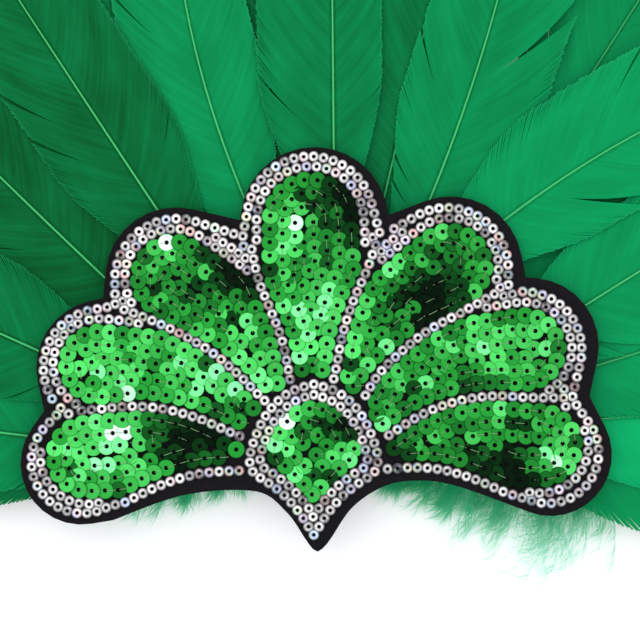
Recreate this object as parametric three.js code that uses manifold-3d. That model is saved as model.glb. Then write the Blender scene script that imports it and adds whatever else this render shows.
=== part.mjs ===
// Carnival feather headdress, lying face up on a level surface: a scalloped felt applique covered with
// sequins, on a fan of dyed goose feathers, with an elastic band behind it that goes round the head.
// Lengths are millimetres and angles degrees. The fan's centre is the point that the feathers spread from,
// behind the drop in the middle of the applique. +X is to the right of the front view, +Y up the fan and
// +Z out of its front.
import * as THREE from 'three';
import * as BufferGeometryUtils from 'three/addons/utils/BufferGeometryUtils.js';
import Module from 'manifold-3d';

const wasm = await Module();
wasm.setup();

// Thicknesses, and the clearance that neighbouring pieces keep
const STRAP_THICKNESS = 1;
const STRAP_OPENING = 4.8;
const FELT_THICKNESS = 1.6;
const SEQUIN_THICKNESS = 1;
const SEAT_GAP = 0.3;

// The flattened elastic band is 500 mm round, measured along the middle of its thickness
const STRAP_LENGTH = 500;
const STRAP_WIDTH = 25;
const STRAP_CENTRE_Y = 3;

// Feathers: the quill tapers to the shaft between two shares of its length
const QUILL_RADIUS = 1;
const SHAFT_RADIUS = 0.5;
const SHAFT_TIP_RADIUS = 0.22;
const QUILL_TAPER = { from: 0.02, to: 0.13 };
const SHAFT_STATIONS = [0, 0.08, 0.12, 0.2, 0.3, 0.41, 0.52, 0.63, 0.74, 0.84, 0.92, 0.97, 1];
const VANE_HALF_THICKNESS = 0.2;
const VANE_CAMBER = 0.4;

// A vane along its feather, as shares of the shaft's length: it opens above the bare quill, grows from its
// base width to its full one, is widest past the middle and ends in a round tip
const VANE_START = 0.09;
const VANE_OPENING = 0.03;
const VANE_BASE_WIDTH = 0.4;
const VANE_GROWTH = { from: 0.1, to: 0.4 };
const VANE_WIDEST = 0.72;
const VANE_END = 1.04;

// Angle between the barbs and the shaft: at the base, what it loses by the tip, and what it loses at the tip
const BARB_ANGLE = 66;
const BARB_ANGLE_LOSS = 30;
const BARB_TIP_LOSS = 12;
const BARB_TIP_START = 0.88;
const SHORTEST_BARB = 1.6;

// A split between barbs: half its opening, as a share of the shaft, and the share of the barbs that it leaves
const SPLIT_HALF_OPENING = 0.012;
const SPLIT_DEPTH = 0.5;

// The feathers lie in layers, level near the fan's centre and drooping to the surface at a distance from it.
// Outer ends sink into the layers below.
const LAYER_STEP = 1.2;
const FRONT_LAYER = 4;
const TIP_REST = 0.24;
const DROOP_START = 90;
const DROOP_END = 205;
const SINK_START = 130;
const SINK_END = 200;

// Locks of down: width along a lock as a share of its widest, how flat it is and how far it curls
const LOCK_STATIONS = [
  { share: 0, width: 0.6 },
  { share: 0.35, width: 1 },
  { share: 0.7, width: 0.72 },
  { share: 1, width: 0.14 },
];
const LOCK_SIDES = 6;
const LOCK_FLATNESS = 0.24;
const LOCK_CURL = 24;
const DOWN_QUILL_RADIUS = 0.8;
const DOWN_QUILL_SIDES = 8;
const DOWN_QUILL_DROP = 0.3;

// Spacing of points along curved lines, in millimetres, and round arcs, in degrees
const LINE_SPACING = 3.5;
const LOWER_EDGE_SPACING = 1.6;
const ARC_STEP = 12;

// How far a cutter stands out of the plate that it cuts
const CUTTER_OVERSHOOT = 1;

// Sequin rows: 5 mm green sequins and 3 mm silver ones, the silver rows 3 mm apart
const SILVER_DIAMETER = 3;
const ROW_CLEARANCE = 0.3;

// Heights above the surface, from the band upwards
const strapTop = 2 * STRAP_THICKNESS + STRAP_OPENING;
const backFeltBottom = strapTop + SEAT_GAP;
const quillAxis = backFeltBottom + FELT_THICKNESS + SEAT_GAP + QUILL_RADIUS;
const appliqueBottom = quillAxis + FRONT_LAYER * LAYER_STEP + QUILL_RADIUS + SEAT_GAP;
const sequinBottom = appliqueBottom + FELT_THICKNESS + SEAT_GAP;

// Lobes of the felt, clockwise from the lower left, and the points where neighbouring lobes meet.
// The first and last points are where the lower edge begins and ends.
const FELT_LOBES = [
  { x: -68.4, y: -8.4, r: 17.7 },
  { x: -61.5, y: 19.4, r: 20 },
  { x: -40.9, y: 45.5, r: 20.6 },
  { x: -0.7, y: 62.1, r: 21.5 },
  { x: 38.9, y: 48.4, r: 20.9 },
  { x: 62.1, y: 25.8, r: 19.8 },
  { x: 67.9, y: -5.8, r: 17.8 },
];
const FELT_VALLEYS = [
  [-59.2, -24.8], [-79.2, 7], [-62.1, 39.7], [-22.3, 62.4],
  [20.6, 63.8], [60.6, 45.8], [79.2, 11.2], [59.2, -21.5],
];
const FELT_LOWER_EDGE = [
  [59.2, -21.5], [40, -14.7], [28.7, -13.3], [19.4, -15], [10.4, -21], [4, -30.2], [2, -32.7],
  [0.1, -34], [-1.6, -32.7], [-3.4, -30.2], [-9, -22.3], [-18, -16.4], [-38.6, -17.5], [-59.2, -24.8],
];

// The outer silver row, in the same order
const TRIM_LOBES = [
  { x: -67.9, y: -7.8, r: 14.9 },
  { x: -62.2, y: 19.4, r: 17.1 },
  { x: -40.6, y: 44.7, r: 18 },
  { x: -1.9, y: 62.4, r: 18.4 },
  { x: 37.7, y: 48.1, r: 17.8 },
  { x: 60, y: 24.7, r: 16.8 },
  { x: 67, y: -5.1, r: 14.7 },
];
const TRIM_VALLEYS = [
  [-60.5, -20.7], [-74.5, 6.8], [-58.5, 37.5], [-21.5, 57.5],
  [18.5, 57.5], [55.5, 42], [74, 10.5], [62, -18.9],
];

// Round outer end of each petal's field of green sequins
const PETALS = [
  { name: 'lower_left', x: -66.6, y: -6.4, r: 11.9 },
  { name: 'mid_left', x: -63.3, y: 20.5, r: 11.5 },
  { name: 'upper_left', x: -41.5, y: 45.6, r: 12.5 },
  { name: 'top', x: -1.9, y: 62.4, r: 13.8 },
  { name: 'upper_right', x: 38.6, y: 49, r: 12.3 },
  { name: 'mid_right', x: 60.2, y: 24.8, r: 12 },
  { name: 'lower_right', x: 65, y: -3.1, r: 12 },
];

// Single silver rows on either side of each petal, from the drop outwards, in the same order. Each one's last
// point lies among the double rows.
const DIVIDERS = [
  [[-19.7, -10.2], [-33.8, -10.8], [-45.1, -14.2], [-55.8, -19.6], [-62, -21.4]],
  [[-14, -3.2], [-21.2, -1], [-36.5, 6], [-50.8, 8.8], [-68.3, 7]],
  [[-11, 6], [-17.2, 11.9], [-22.8, 17.7], [-30.7, 24.5], [-43.5, 31.6], [-58.6, 37.4]],
  [[-7, 10.6], [-8.3, 19.4], [-10.2, 28.4], [-13.9, 37.4], [-17.4, 45.6], [-19.4, 56.6]],
  [[3.6, 10.6], [5.9, 20.7], [7.2, 28.7], [10.6, 39.4], [14.2, 46.8], [17.1, 55.1]],
  [[10, 4], [17.1, 17.1], [23.5, 23.4], [31.8, 30.3], [42.5, 35.8], [51.5, 40.9]],
  [[13, -4.2], [20.1, -0.7], [29.6, 5.8], [39.9, 9.9], [51.9, 11.6], [60.9, 10.8], [71.6, 10.8]],
  [[17.6, -10], [32.8, -9.1], [44.5, -12.1], [54.8, -16.8], [65.8, -19.9]],
];

// The drop: the right half of the outer silver row's line and of the green field's edge, from the middle
const DROP_CENTRE_X = -0.9;
const DROP_TRIM = [
  [0, 14.7], [5.6, 13.3], [10.6, 10], [14.6, 4.8], [17.3, -1.2], [18.9, -7.2], [17.9, -11],
  [13, -13.9], [8, -17.8], [3.6, -23.2], [0.9, -27.6],
];
const DROP_FIELD = [
  [0, 10], [4.6, 8.8], [8.8, 5.8], [11.8, 1.6], [13.7, -3.4], [13.4, -7.2], [9.4, -10.6], [4.6, -15.2],
];
const DROP_TRIM_TIP = -29.4;
const DROP_FIELD_TIP = -20.4;

// Feathers, from the left. x and y are the end of the quill, aim the direction it leaves in and bend how far
// the shaft turns by its tip. left and right are the half vanes as the feather is seen with its tip upwards.
// sink is how many layers the outer end settles by, and each split is where a gap between barbs starts
// on the shaft, as a share of its length, and on which side.
const FRONT_FEATHERS = [
  { x: -38, y: -6.3, aim: 173, bend: 0, length: 166, left: 19.5, right: 20, layer: 3, sink: 1,
    splits: [{ at: 0.66, side: 'right' }] },
  { x: -38.2, y: 4.4, aim: 154.6, bend: 4, length: 170, left: 20, right: 21, layer: 4, sink: 1, splits: [] },
  { x: -33.6, y: 19, aim: 137, bend: -2, length: 174, left: 21, right: 21, layer: 3, sink: 1,
    splits: [{ at: 0.6, side: 'left' }] },
  { x: -23.2, y: 30.3, aim: 123.6, bend: 0, length: 172, left: 20, right: 20, layer: 4, sink: 1, splits: [] },
  { x: -5.5, y: 37.5, aim: 120, bend: -34, length: 170, left: 20, right: 19, layer: 3, sink: 1, splits: [] },
  { x: 5.3, y: 38.5, aim: 90.5, bend: 0, length: 176, left: 22.5, right: 14.5, layer: 4, sink: 1,
    splits: [] },
  { x: 18.2, y: 35.3, aim: 64, bend: 18, length: 170, left: 20, right: 22, layer: 3, sink: 1,
    splits: [{ at: 0.42, side: 'right' }] },
  { x: 23.1, y: 34.2, aim: 46, bend: -33, length: 168, left: 21, right: 20, layer: 4, sink: 0,
    splits: [{ at: 0.33, side: 'right' }] },
  { x: 37.6, y: 10.9, aim: 34, bend: -6, length: 172, left: 20, right: 21, layer: 3, sink: 0,
    splits: [{ at: 0.22, side: 'right' }] },
  { x: 38, y: 1.4, aim: 3.6, bend: 1, length: 168, left: 21, right: 23, layer: 1, sink: 0, splits: [] },
];
const BACK_FEATHERS = [
  { x: -37, y: -8.4, aim: 180, bend: 1, length: 160, left: 13, right: 20, layer: 2, sink: 1, splits: [] },
  { x: -38, y: -1, aim: 167, bend: 3, length: 170, left: 21, right: 21, layer: 1, sink: 1, splits: [] },
  { x: -36.6, y: 11, aim: 149, bend: 3, length: 172, left: 21, right: 21, layer: 2, sink: 1, splits: [] },
  { x: -29, y: 24.6, aim: 131, bend: 3, length: 174, left: 21, right: 21, layer: 1, sink: 1, splits: [] },
  { x: -15.4, y: 35, aim: 116, bend: 0, length: 174, left: 21, right: 21, layer: 2, sink: 1, splits: [] },
  { x: 0, y: 38, aim: 98, bend: -2, length: 176, left: 21, right: 21, layer: 1, sink: 1, splits: [] },
  { x: 12, y: 36.4, aim: 77, bend: -2, length: 174, left: 21, right: 21, layer: 2, sink: 1, splits: [] },
  { x: 28.6, y: 25, aim: 57, bend: 0, length: 172, left: 21, right: 21, layer: 1, sink: 1, splits: [] },
  { x: 32.6, y: 19.6, aim: 37, bend: -2, length: 172, left: 21, right: 21, layer: 0, sink: 0, splits: [] },
  { x: 37.8, y: 6, aim: 18, bend: -3, length: 170, left: 21, right: 21, layer: 2, sink: 0, splits: [] },
  { x: 37.9, y: -3.4, aim: -8, bend: -3, length: 162, left: 20, right: 17, layer: 0, sink: 0, splits: [] },
];

// Down below the applique: a short quill against the back felt, from one end to the other, and its locks.
// at is the share of the quill's length where a lock starts, aim its direction at first.
const DOWN_TUFTS = [
  { name: 'down_left', from: [-24, -11], to: [-62, -13.5], fall: 2,
    locks: [
      { at: 0.1, aim: 264, length: 8, width: 9 },
      { at: 0.3, aim: 256, length: 11, width: 10 },
      { at: 0.5, aim: 264, length: 14, width: 10 },
      { at: 0.7, aim: 254, length: 15, width: 10 },
      { at: 0.88, aim: 244, length: 13, width: 10 },
      { at: 0.98, aim: 228, length: 12, width: 9 },
    ] },
  { name: 'down_right', from: [23, -11], to: [78, -15], fall: 3,
    locks: [
      { at: 0.06, aim: 282, length: 9, width: 8 },
      { at: 0.18, aim: 276, length: 12, width: 10 },
      { at: 0.3, aim: 284, length: 16, width: 11 },
      { at: 0.42, aim: 274, length: 20, width: 12 },
      { at: 0.55, aim: 284, length: 23, width: 12 },
      { at: 0.67, aim: 268, length: 25, width: 12 },
      { at: 0.78, aim: 284, length: 25, width: 12 },
      { at: 0.89, aim: 298, length: 23, width: 11 },
      { at: 0.98, aim: 318, length: 22, width: 10 },
    ] },
];

// Back felt: a half disc with its straight side down
const BACK_FELT_RADIUS = 56;
const BACK_FELT_LOWER_EDGE = -12.4;
const BACK_FELT_CORNER = 8;

const colours = {
  felt: { color: '#232023', roughness: 0.95, metalness: 0 },
  greenSequins: { color: '#2cb43c', roughness: 0.25, metalness: 0.6 },
  silverSequins: { color: '#dcdde2', roughness: 0.2, metalness: 0.8 },
  frontFeather: { color: '#0f9a55', roughness: 0.6, metalness: 0 },
  backFeather: { color: '#06703c', roughness: 0.65, metalness: 0 },
  down: { color: '#2fae74', roughness: 0.9, metalness: 0 },
  elastic: { color: '#1b1b1d', roughness: 0.85, metalness: 0 },
};

const radians = (degrees) => (degrees * Math.PI) / 180;
const degrees = (angle) => (angle * 180) / Math.PI;
const mix = (a, b, share) => a + (b - a) * share;

function smooth(from, to, value) {
  const share = Math.min(1, Math.max(0, (value - from) / (to - from)));
  return share * share * (3 - 2 * share);
}

// Points of a clockwise arc about a centre
function arcPoints(centre, from, to) {
  const count = Math.max(1, Math.round((from - to) / ARC_STEP));
  const points = [];
  for (let i = 0; i <= count; i += 1) {
    const angle = radians(mix(from, to, i / count));
    points.push([centre.x + centre.r * Math.cos(angle), centre.y + centre.r * Math.sin(angle)]);
  }
  return points;
}

// The clockwise arc of a lobe, tangent to the lines from the point before it and to the point after it
function lobeArc(lobe, before, after) {
  const tangent = ([x, y], side) => {
    const distance = Math.hypot(x - lobe.x, y - lobe.y);
    const turn = distance > lobe.r ? degrees(Math.acos(lobe.r / distance)) : 0;
    return degrees(Math.atan2(y - lobe.y, x - lobe.x)) + side * turn;
  };
  const from = tangent(before, -1);
  let to = tangent(after, 1);
  while (to > from) to -= 360;
  while (to < from - 360) to += 360;
  return arcPoints(lobe, from, to);
}

// A scalloped line: a round lobe between each valley and the next, with the lobes grown by some millimetres
function scallop(lobes, valleys, grow = 0) {
  const outward = valleys.map(([x, y]) => {
    const share = 1 + grow / Math.hypot(x, y);
    return [x * share, y * share];
  });
  const points = [];
  lobes.forEach((lobe, i) => {
    const grown = { x: lobe.x, y: lobe.y, r: lobe.r + grow };
    points.push(outward[i], ...lobeArc(grown, outward[i], outward[i + 1]));
  });
  points.push(outward[lobes.length]);
  return points;
}

// A smooth line through hand-placed points
function smoothLine(points, spacing = LINE_SPACING) {
  const curve = new THREE.SplineCurve(points.map(([x, y]) => new THREE.Vector2(x, y)));
  const count = Math.max(2, Math.round(curve.getLength() / spacing));
  return curve.getSpacedPoints(count).map((p) => [p.x, p.y]);
}

// A line moved sideways, to the left of its direction where the distance is positive
function besideLine(points, distance) {
  return points.map(([x, y], i) => {
    const [x0, y0] = points[Math.max(0, i - 1)];
    const [x1, y1] = points[Math.min(points.length - 1, i + 1)];
    const length = Math.hypot(x1 - x0, y1 - y0);
    return [x - (distance * (y1 - y0)) / length, y + (distance * (x1 - x0)) / length];
  });
}

// A flat plate of an outline, between two heights
function plate(outline, bottom, thickness) {
  const shape = new THREE.Shape(outline.map(([x, y]) => new THREE.Vector2(x, y)));
  const geometry = new THREE.ExtrudeGeometry(shape, { depth: thickness, bevelEnabled: false });
  return geometry.translate(0, 0, bottom);
}

function solid(geometry) {
  const bare = geometry.clone();
  bare.deleteAttribute('normal');
  bare.deleteAttribute('uv');
  const merged = BufferGeometryUtils.mergeVertices(bare, 1e-4);
  return new wasm.Manifold(new wasm.Mesh({
    numProp: 3,
    vertProperties: new Float32Array(merged.attributes.position.array),
    triVerts: new Uint32Array(merged.index.array),
  }));
}

function fromSolid(body) {
  const mesh = body.getMesh();
  const geometry = new THREE.BufferGeometry();
  geometry.setAttribute('position', new THREE.BufferAttribute(new Float32Array(mesh.vertProperties), 3));
  geometry.setIndex(new THREE.BufferAttribute(new Uint32Array(mesh.triVerts), 1));
  return geometry;
}

// A closed body through rings of points, each ring with the same number of points in the same order. The
// second half of a ring runs under the first, and its diagonals lie under theirs, so that the two sides of a
// thin body bend alike and don't cross.
function loft(rings) {
  const size = rings[0].length;
  const indices = [];
  for (let r = 0; r + 1 < rings.length; r += 1) {
    for (let i = 0; i < size; i += 1) {
      const a = r * size + i;
      const b = r * size + ((i + 1) % size);
      if (i > size / 2) indices.push(a, b, a + size, b, b + size, a + size);
      else indices.push(a, b, b + size, a, b + size, a + size);
    }
  }
  // Each end is closed by a strip of triangles that zigzags across the ring
  const last = (rings.length - 1) * size;
  const strip = [0];
  for (let i = 1; strip.length < size; i += 1) strip.push(i, size - i);
  for (let i = 0; i + 2 < size; i += 1) {
    const a = strip[i];
    const b = i % 2 === 0 ? strip[i + 1] : strip[i + 2];
    const c = i % 2 === 0 ? strip[i + 2] : strip[i + 1];
    indices.push(a, c, b, last + a, last + b, last + c);
  }
  const geometry = new THREE.BufferGeometry();
  geometry.setAttribute('position', new THREE.Float32BufferAttribute(rings.flat(2), 3));
  geometry.setIndex(indices);
  return geometry;
}

function piece(name, geometry, finish) {
  geometry.deleteAttribute('normal');
  geometry.computeVertexNormals();
  const mesh = new THREE.Mesh(geometry, new THREE.MeshStandardMaterial(finish));
  mesh.name = name;
  return mesh;
}

// Applique

function appliqueFelt() {
  const outline = [
    ...scallop(FELT_LOBES, FELT_VALLEYS).slice(1, -1),
    ...smoothLine(FELT_LOWER_EDGE, LOWER_EDGE_SPACING),
  ];
  return piece('applique_felt', plate(outline, appliqueBottom, FELT_THICKNESS), colours.felt);
}

// The outline of a petal's green field, grown by some millimetres: along one divider, round the outer end
// and back along the other
function petalOutline(index, grow = 0) {
  const petal = PETALS[index];
  const reach = SILVER_DIAMETER / 2 + ROW_CLEARANCE - grow;
  const end = { x: petal.x, y: petal.y, r: petal.r + grow };
  const side = (divider, distance) => smoothLine(
    besideLine(divider.slice(0, -1), distance)
      .filter(([x, y]) => Math.hypot(x - end.x, y - end.y) > end.r + ROW_CLEARANCE),
  );
  const first = side(DIVIDERS[index], -reach);
  const second = side(DIVIDERS[index + 1], reach);
  return [...first, ...lobeArc(end, first.at(-1), second.at(-1)), ...second.reverse()];
}

function dropOutline(half, tip, grow = 0) {
  const right = half.map(([x, y]) => [DROP_CENTRE_X + x, y]);
  const left = half.slice(1).reverse().map(([x, y]) => [DROP_CENTRE_X - x, y]);
  const whole = [...right, [DROP_CENTRE_X, tip], ...left, right[0]];
  return besideLine(smoothLine(whole), grow).slice(0, -1);
}

const overSequins = (outline) => solid(
  plate(outline, sequinBottom - CUTTER_OVERSHOOT, SEQUIN_THICKNESS + 2 * CUTTER_OVERSHOOT),
);
const sequinPlate = (outline) => solid(plate(outline, sequinBottom, SEQUIN_THICKNESS));

function sequinFields() {
  const silverRadius = SILVER_DIAMETER / 2;
  const aroundDrop = overSequins(dropOutline(DROP_TRIM, DROP_TRIM_TIP, silverRadius + SEAT_GAP));
  const pieces = [];

  const outerRow = scallop(TRIM_LOBES, TRIM_VALLEYS, silverRadius);
  const lowerRight = besideLine(DIVIDERS.at(-1), -silverRadius).reverse();
  const lowerLeft = besideLine(DIVIDERS[0], silverRadius);
  let petalTrim = sequinPlate([...outerRow, ...lowerRight.slice(1), ...lowerLeft.slice(0, -1)])
    .subtract(aroundDrop);
  PETALS.forEach((petal, i) => {
    petalTrim = petalTrim.subtract(overSequins(petalOutline(i, SEAT_GAP)));
    const field = sequinPlate(petalOutline(i)).subtract(aroundDrop);
    pieces.push(piece(`sequins_${petal.name}`, fromSolid(field), colours.greenSequins));
  });
  pieces.push(piece('trim_petals', fromSolid(petalTrim), colours.silverSequins));

  const dropTrim = sequinPlate(dropOutline(DROP_TRIM, DROP_TRIM_TIP, silverRadius))
    .subtract(overSequins(dropOutline(DROP_FIELD, DROP_FIELD_TIP, SEAT_GAP)));
  pieces.push(piece('trim_drop', fromSolid(dropTrim), colours.silverSequins));
  const dropField = plate(dropOutline(DROP_FIELD, DROP_FIELD_TIP), sequinBottom, SEQUIN_THICKNESS);
  pieces.push(piece('sequins_drop', dropField, colours.greenSequins));
  return pieces;
}

// Feathers

// Height of a layer's surface at a distance from the fan's centre: level behind the applique, then drooping
// until the tips of the lowest layer touch the surface below
function layerHeight(distance, layer, sink) {
  const droop = smooth(DROOP_START, DROOP_END, distance);
  const settle = sink * smooth(SINK_START, SINK_END, distance);
  return mix(quillAxis, TIP_REST, droop) + LAYER_STEP * (layer - settle);
}

// Place and direction of the shaft at a share of its length, which is an arc of a circle
function shaftAt(feather, share) {
  const start = radians(feather.aim);
  const turn = radians(feather.bend || 0.01);
  const radius = feather.length / turn;
  const heading = start + turn * share;
  return {
    x: feather.x + radius * (Math.sin(heading) - Math.sin(start)),
    y: feather.y - radius * (Math.cos(heading) - Math.cos(start)),
    heading,
  };
}

// Half width of a vane along the feather, as a share of its widest
function vaneProfile(share) {
  if (share >= VANE_END) return 0;
  const opening = smooth(VANE_START, VANE_START + VANE_OPENING, share);
  const growth = mix(VANE_BASE_WIDTH, 1, smooth(VANE_GROWTH.from, VANE_GROWTH.to, share));
  const past = Math.max(0, (share - VANE_WIDEST) / (VANE_END - VANE_WIDEST));
  return opening * growth * Math.sqrt(1 - past * past);
}

const barbAngle = (share) => radians(
  BARB_ANGLE - BARB_ANGLE_LOSS * share - BARB_TIP_LOSS * smooth(BARB_TIP_START, 1, share),
);

// Length of the barb that leaves the shaft at a share of its length and ends at the vane's edge, by halving
// the range that it lies in
function barbLength(feather, share, halfWidth) {
  const angle = barbAngle(share);
  const halvings = 24;
  let low = 0;
  let high = 2 * halfWidth;
  for (let i = 0; i < halvings; i += 1) {
    const middle = (low + high) / 2;
    const edge = halfWidth * vaneProfile(share + (middle * Math.cos(angle)) / feather.length);
    if (middle * Math.sin(angle) < edge) low = middle;
    else high = middle;
  }
  return low;
}

// The ring of a feather: over the top from the left edge to the right one, and back underneath. Around the
// bare quill it is round. In the vane its points lie along the barbs. turn is the angle round the quill,
// reach the share of the barb and height in multiples of the vane's or the shaft's thickness.
const FEATHER_RING = [
  { turn: 180, side: 1, reach: 1, vane: 0, shaft: 0 },
  { turn: 150, side: 1, reach: 0.55, vane: 1, shaft: 0 },
  { turn: 120, side: 1, reach: 0, vane: 1, shaft: 0 },
  { turn: 90, side: 0, reach: 0, vane: 0, shaft: 1 },
  { turn: 60, side: -1, reach: 0, vane: 1, shaft: 0 },
  { turn: 30, side: -1, reach: 0.55, vane: 1, shaft: 0 },
  { turn: 0, side: -1, reach: 1, vane: 0, shaft: 0 },
  { turn: 300, side: -1, reach: 0.55, vane: -1, shaft: 0 },
  { turn: 270, side: 0, reach: 0, vane: 0, shaft: -0.8 },
  { turn: 240, side: 1, reach: 0.55, vane: -1, shaft: 0 },
];

function featherRing(feather, share, splitSide) {
  const shaft = shaftAt(feather, share);
  const angle = barbAngle(share);
  const vane = smooth(VANE_START, VANE_START + VANE_OPENING, share);
  const thin = mix(QUILL_RADIUS, SHAFT_RADIUS, smooth(QUILL_TAPER.from, QUILL_TAPER.to, share));
  const radius = mix(thin, SHAFT_TIP_RADIUS, smooth(QUILL_TAPER.to, 1, share));
  const besideShaft = radius * 1.5;
  return FEATHER_RING.map((point) => {
    const left = point.side > 0;
    const halfWidth = left ? feather.left : feather.right;
    const whole = Math.max(SHORTEST_BARB, barbLength(feather, share, halfWidth));
    const barb = point.reach * (splitSide === (left ? 'left' : 'right') ? whole * SPLIT_DEPTH : whole);
    const outwards = barb > 0 ? barb * Math.sin(angle) : besideShaft;
    const across = mix(radius * Math.cos(radians(point.turn)), -point.side * outwards, vane);
    const ahead = vane * barb * Math.cos(angle);
    const vaneHeight = point.vane * VANE_HALF_THICKNESS + point.shaft * radius;
    const height = mix(radius * Math.sin(radians(point.turn)), vaneHeight, vane);
    const x = shaft.x + ahead * Math.cos(shaft.heading) + across * Math.sin(shaft.heading);
    const y = shaft.y + ahead * Math.sin(shaft.heading) - across * Math.cos(shaft.heading);
    const fall = VANE_CAMBER * (across / halfWidth) ** 2;
    return [x, y, layerHeight(Math.hypot(x, y), feather.layer, feather.sink) + height - fall];
  });
}

function feather(name, row, finish) {
  const stations = SHAFT_STATIONS.map((share) => ({ share, splitSide: '' }));
  row.splits.forEach(({ at, side }) => {
    stations.push({ share: at - SPLIT_HALF_OPENING, splitSide: '' });
    stations.push({ share: at, splitSide: side });
    stations.push({ share: at + SPLIT_HALF_OPENING, splitSide: '' });
  });
  stations.sort((a, b) => a.share - b.share);
  const rings = stations.map(({ share, splitSide }) => featherRing(row, share, splitSide));
  return piece(name, loft(rings), finish);
}

const frontFeathers = () => FRONT_FEATHERS.map(
  (row, i) => feather(`feather_front_${i + 1}`, row, colours.frontFeather),
);
const backFeathers = () => BACK_FEATHERS.map(
  (row, i) => feather(`feather_back_${i + 1}`, row, colours.backFeather),
);

// Down

// A lock of down: a flat tapering wisp that leaves its quill and bends down towards the surface
function lockOfDown(tuft, lock, height) {
  const x = mix(tuft.from[0], tuft.to[0], lock.at);
  const y = mix(tuft.from[1], tuft.to[1], lock.at);
  const curl = tuft.to[0] > 0 ? LOCK_CURL : -LOCK_CURL;
  const rings = LOCK_STATIONS.map(({ share, width }) => {
    const heading = radians(lock.aim + curl * share * share);
    const centreX = x + lock.length * share * Math.cos(heading);
    const centreY = y + lock.length * share * Math.sin(heading);
    const centreZ = height - tuft.fall * share * share;
    const half = (lock.width / 2) * width;
    const ring = [];
    for (let i = 0; i < LOCK_SIDES; i += 1) {
      const turn = (i / LOCK_SIDES) * 2 * Math.PI;
      const across = half * Math.cos(turn);
      ring.push([
        centreX - across * Math.sin(heading),
        centreY + across * Math.cos(heading),
        centreZ + half * LOCK_FLATNESS * Math.sin(turn),
      ]);
    }
    return ring;
  });
  return solid(loft(rings));
}

function downTufts() {
  const radius = DOWN_QUILL_RADIUS;
  const height = backFeltBottom - SEAT_GAP - DOWN_QUILL_DROP - radius;
  return DOWN_TUFTS.map((tuft) => {
    const length = Math.hypot(tuft.to[0] - tuft.from[0], tuft.to[1] - tuft.from[1]);
    const quill = new THREE.CylinderGeometry(radius, radius, length, DOWN_QUILL_SIDES);
    quill.rotateZ(Math.atan2(tuft.to[1] - tuft.from[1], tuft.to[0] - tuft.from[0]) - Math.PI / 2);
    quill.translate((tuft.from[0] + tuft.to[0]) / 2, (tuft.from[1] + tuft.to[1]) / 2, height);
    const whole = tuft.locks.reduce(
      (body, lock) => body.add(lockOfDown(tuft, lock, height)),
      solid(quill),
    );
    return piece(tuft.name, fromSolid(whole), colours.down);
  });
}

// Back felt and band

function backFelt() {
  const corner = BACK_FELT_CORNER;
  const low = BACK_FELT_LOWER_EDGE + corner;
  const reach = Math.sqrt((BACK_FELT_RADIUS - corner) ** 2 - low ** 2);
  const rim = { x: 0, y: 0, r: BACK_FELT_RADIUS };
  const turn = degrees(Math.atan2(low, reach));
  const outline = [
    ...arcPoints(rim, 180 - turn, turn),
    ...arcPoints({ x: reach, y: low, r: corner }, turn, -90).slice(1),
    ...arcPoints({ x: -reach, y: low, r: corner }, 270, 180 - turn).slice(0, -1),
  ];
  return piece('back_felt', plate(outline, backFeltBottom, FELT_THICKNESS), colours.felt);
}

function headStrap() {
  const middleRadius = (STRAP_OPENING + STRAP_THICKNESS) / 2;
  const straight = (STRAP_LENGTH - 2 * Math.PI * middleRadius) / 2;
  const loop = (radius) => [
    ...arcPoints({ x: straight / 2, y: 0, r: radius }, 90, -90),
    ...arcPoints({ x: -straight / 2, y: 0, r: radius }, -90, -270),
  ].map(([x, y]) => new THREE.Vector2(x, y));
  const shape = new THREE.Shape(loop(middleRadius + STRAP_THICKNESS / 2).reverse());
  shape.holes.push(new THREE.Path(loop(middleRadius - STRAP_THICKNESS / 2)));
  const geometry = new THREE.ExtrudeGeometry(shape, { depth: STRAP_WIDTH, bevelEnabled: false });
  geometry.rotateX(Math.PI / 2);
  geometry.translate(0, STRAP_CENTRE_Y + STRAP_WIDTH / 2, strapTop / 2);
  return piece('head_strap', geometry, colours.elastic);
}

const headdress = new THREE.Group();
headdress.add(
  headStrap(),
  backFelt(),
  ...backFeathers(),
  ...frontFeathers(),
  ...downTufts(),
  appliqueFelt(),
  ...sequinFields(),
);

// The origin is the middle of the bottom of the whole headdress
const box = new THREE.Box3().setFromObject(headdress);
headdress.position.set(-(box.min.x + box.max.x) / 2, -(box.min.y + box.max.y) / 2, -box.min.z);
headdress.updateMatrixWorld(true);

export default headdress;
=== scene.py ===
import math
import random
from collections import namedtuple

import bpy
import numpy as np
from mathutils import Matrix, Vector


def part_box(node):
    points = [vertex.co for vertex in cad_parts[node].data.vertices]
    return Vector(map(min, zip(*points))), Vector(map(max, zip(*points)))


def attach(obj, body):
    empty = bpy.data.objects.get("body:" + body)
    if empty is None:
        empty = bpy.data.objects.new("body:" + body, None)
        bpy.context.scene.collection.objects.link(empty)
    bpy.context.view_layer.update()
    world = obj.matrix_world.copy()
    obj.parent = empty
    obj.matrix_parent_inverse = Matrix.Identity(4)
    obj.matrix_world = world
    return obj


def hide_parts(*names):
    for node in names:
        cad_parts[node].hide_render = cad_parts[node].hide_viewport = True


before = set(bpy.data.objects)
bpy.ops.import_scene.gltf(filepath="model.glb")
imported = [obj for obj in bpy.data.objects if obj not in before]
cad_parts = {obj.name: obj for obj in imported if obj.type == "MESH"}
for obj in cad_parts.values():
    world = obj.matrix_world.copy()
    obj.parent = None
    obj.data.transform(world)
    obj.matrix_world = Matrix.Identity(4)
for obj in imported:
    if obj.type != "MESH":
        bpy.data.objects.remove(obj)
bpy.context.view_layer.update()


# Elastic band
# A loop of flat woven elastic, black and 25 mm wide, that goes round the head. It is sewn to the back felt
# and lies flattened under the fan. Its weave shows as fine ribs along its length.
MM = 0.001
RIB_SPACING = 1.4
RIB_DEPTH = 0.12
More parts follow.
